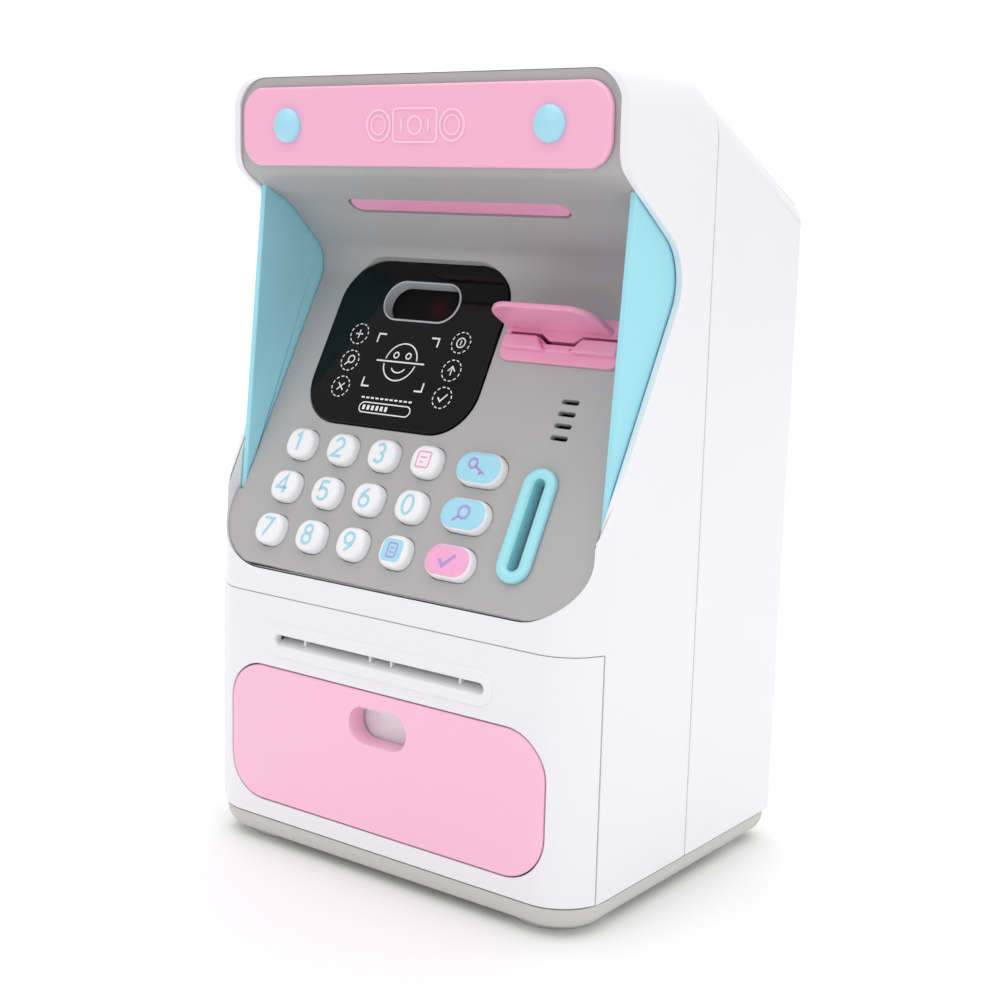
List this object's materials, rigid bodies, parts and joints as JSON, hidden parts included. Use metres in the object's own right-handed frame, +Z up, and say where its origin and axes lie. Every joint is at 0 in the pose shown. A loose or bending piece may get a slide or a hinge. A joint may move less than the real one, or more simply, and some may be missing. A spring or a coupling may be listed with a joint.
{
  "type": "toy cash machine savings bank",
  "caption": "Toy cash machine money bank with a hooded sloping keypad, display, card reader, coin slot and a hinged safe door holding a note slot and a sliding drawer.",
  "frame": {"origin": "centre of the footprint on the surface that the feet stand on", "axes": "+Z up, -Y is the front with the keypad and door, +X to the viewer's right"},
  "size_m": [0.13, 0.1046, 0.2157],
  "materials": {
    "shell_white": "smooth moulded white ABS with a soft gloss",
    "panel_grey": "warm grey ABS, fine satin texture",
    "base_grey": "warm grey ABS, fine satin texture",
    "foot_rubber": "soft grey rubber pads",
    "header_pink": "smooth moulded pink ABS",
    "drawer_pink": "smooth moulded light pink ABS",
    "reader_pink": "smooth moulded pink ABS",
    "stud_blue": "glossy moulded blue ABS",
    "wing_blue": "smooth moulded light blue ABS",
    "lamp_pink": "translucent pink lens",
    "display_black": "mirror gloss black acrylic with white printed line art",
    "sensor_black": "dark infra-red window with a dull red glow",
    "coin_cyan": "glossy moulded cyan ABS",
    "inner_plastic": "natural ABS inner moulding",
    "black_plastic": "black moulding",
    "key_white": "white keycaps with printed digits",
    "key_blue": "white keycaps with a blue printed top",
    "key_pink": "white keycap with a pink printed top",
    "mat_silicone": "silicone key mat",
    "board_green": "solder-masked circuit board",
    "steel": "zinc plated steel",
    "roller_rubber": "black rubber rollers on a steel shaft",
    "gear_white": "natural acetal gears",
    "battery_blue": "sleeved AA cells"
  },
  "bodies": {
    "case": {"front_shell": "shell_white", "rear_shell": "shell_white", "battery_cover": "shell_white", "fascia_panel": "panel_grey", "base_tray": "base_grey", "foot_front_left": "foot_rubber", "foot_front_right": "foot_rubber", "foot_rear_left": "foot_rubber", "foot_rear_right": "foot_rubber", "header_plate": "header_pink", "header_stud_left": "stud_blue", "header_stud_right": "stud_blue", "wing_left": "wing_blue", "wing_right": "wing_blue", "ceiling_lamp_lens": "lamp_pink", "display_cover": "display_black", "face_sensor": "sensor_black", "card_reader": "reader_pink", "coin_slot_bezel": "coin_cyan", "coin_chute": "inner_plastic", "feeder_frame": "inner_plastic", "speaker": "black_plastic", "battery_box": "black_plastic", "key_mat": "mat_silicone", "circuit_board": "board_green", "hinge_pin_upper": "steel", "hinge_pin_lower": "steel", "latch_solenoid": "steel", "feeder_motor": "steel", "case_screw_1": "steel", "case_screw_2": "steel", "case_screw_3": "steel", "case_screw_4": "steel", "battery_cover_screw": "steel", "battery_1": "battery_blue", "battery_2": "battery_blue", "battery_3": "battery_blue"},
    "door": {"door_panel": "shell_white"},
    "drawer": {"drawer_front": "drawer_pink", "drawer_tray": "shell_white"},
    "bolt": {"latch_bolt": "steel"},
    "drive": {"drive_roller": "roller_rubber", "drive_gear": "gear_white"},
    "idler": {"idler_roller": "roller_rubber"},
    "pinion": {"motor_pinion": "gear_white"},
    "key_1": {"key_1": "key_white"},
    "key_2": {"key_2": "key_white"},
    "key_3": {"key_3": "key_white"},
    "key_card": {"key_card": "key_white"},
    "key_pass": {"key_pass": "key_blue"},
    "key_4": {"key_4": "key_white"},
    "key_5": {"key_5": "key_white"},
    "key_6": {"key_6": "key_white"},
    "key_0": {"key_0": "key_white"},
    "key_search": {"key_search": "key_blue"},
    "key_7": {"key_7": "key_white"},
    "key_8": {"key_8": "key_white"},
    "key_9": {"key_9": "key_white"},
    "key_menu": {"key_menu": "key_blue"},
    "key_accept": {"key_accept": "key_pink"}
  },
  "joints": [
    {"name": "door_hinge", "type": "hinge", "parent": "case", "child": "door", "pos_m": [-0.0626, -0.0434, 0.042], "axis": [0, 0, -1], "range_deg": [0, 90]},
    {"name": "drawer_slide", "type": "slide", "parent": "door", "child": "drawer", "axis": [0, -1, 0], "range_m": [0, 0.036]},
    {"name": "latch_slide", "type": "slide", "parent": "case", "child": "bolt", "axis": [0, 0, -1], "range_m": [0, 0.004], "stiffness_N_per_m": 50, "springref_m": -0.002},
    {"name": "drive_spin", "type": "hinge", "parent": "case", "child": "drive", "pos_m": [0, -0.037, 0.067], "axis": [1, 0, 0], "continuous": true},
    {"name": "idler_spin", "type": "hinge", "parent": "case", "child": "idler", "pos_m": [0, -0.037, 0.0574], "axis": [1, 0, 0], "continuous": true},
    {"name": "motor_spin", "type": "hinge", "parent": "case", "child": "pinion", "pos_m": [-0.0475, -0.02682, 0.07718], "axis": [1, 0, 0], "continuous": true},
    {"name": "key_1_press", "type": "slide", "parent": "case", "child": "key_1", "axis": [0, 0.878, -0.4787], "range_m": [0, 0.001], "stiffness_N_per_m": 400},
    {"name": "key_2_press", "type": "slide", "parent": "case", "child": "key_2", "axis": [0, 0.878, -0.4787], "range_m": [0, 0.001], "stiffness_N_per_m": 400},
    {"name": "key_3_press", "type": "slide", "parent": "case", "child": "key_3", "axis": [0, 0.878, -0.4787], "range_m": [0, 0.001], "stiffness_N_per_m": 400},
    {"name": "key_card_press", "type": "slide", "parent": "case", "child": "key_card", "axis": [0, 0.878, -0.4787], "range_m": [0, 0.001], "stiffness_N_per_m": 400},
    {"name": "key_pass_press", "type": "slide", "parent": "case", "child": "key_pass", "axis": [0, 0.878, -0.4787], "range_m": [0, 0.001], "stiffness_N_per_m": 400},
    {"name": "key_4_press", "type": "slide", "parent": "case", "child": "key_4", "axis": [0, 0.878, -0.4787], "range_m": [0, 0.001], "stiffness_N_per_m": 400},
    {"name": "key_5_press", "type": "slide", "parent": "case", "child": "key_5", "axis": [0, 0.878, -0.4787], "range_m": [0, 0.001], "stiffness_N_per_m": 400},
    {"name": "key_6_press", "type": "slide", "parent": "case", "child": "key_6", "axis": [0, 0.878, -0.4787], "range_m": [0, 0.001], "stiffness_N_per_m": 400},
    {"name": "key_0_press", "type": "slide", "parent": "case", "child": "key_0", "axis": [0, 0.878, -0.4787], "range_m": [0, 0.001], "stiffness_N_per_m": 400},
    {"name": "key_search_press", "type": "slide", "parent": "case", "child": "key_search", "axis": [0, 0.878, -0.4787], "range_m": [0, 0.001], "stiffness_N_per_m": 400},
    {"name": "key_7_press", "type": "slide", "parent": "case", "child": "key_7", "axis": [0, 0.878, -0.4787], "range_m": [0, 0.001], "stiffness_N_per_m": 400},
    {"name": "key_8_press", "type": "slide", "parent": "case", "child": "key_8", "axis": [0, 0.878, -0.4787], "range_m": [0, 0.001], "stiffness_N_per_m": 400},
    {"name": "key_9_press", "type": "slide", "parent": "case", "child": "key_9", "axis": [0, 0.878, -0.4787], "range_m": [0, 0.001], "stiffness_N_per_m": 400},
    {"name": "key_menu_press", "type": "slide", "parent": "case", "child": "key_menu", "axis": [0, 0.878, -0.4787], "range_m": [0, 0.001], "stiffness_N_per_m": 400},
    {"name": "key_accept_press", "type": "slide", "parent": "case", "child": "key_accept", "axis": [0, 0.878, -0.4787], "range_m": [0, 0.001], "stiffness_N_per_m": 400}
  ],
  "couplings": [
    {"joint": "motor_spin", "follows": "drive_spin", "ratio": -3},
    {"joint": "idler_spin", "follows": "drive_spin", "ratio": -1.25}
  ]
}
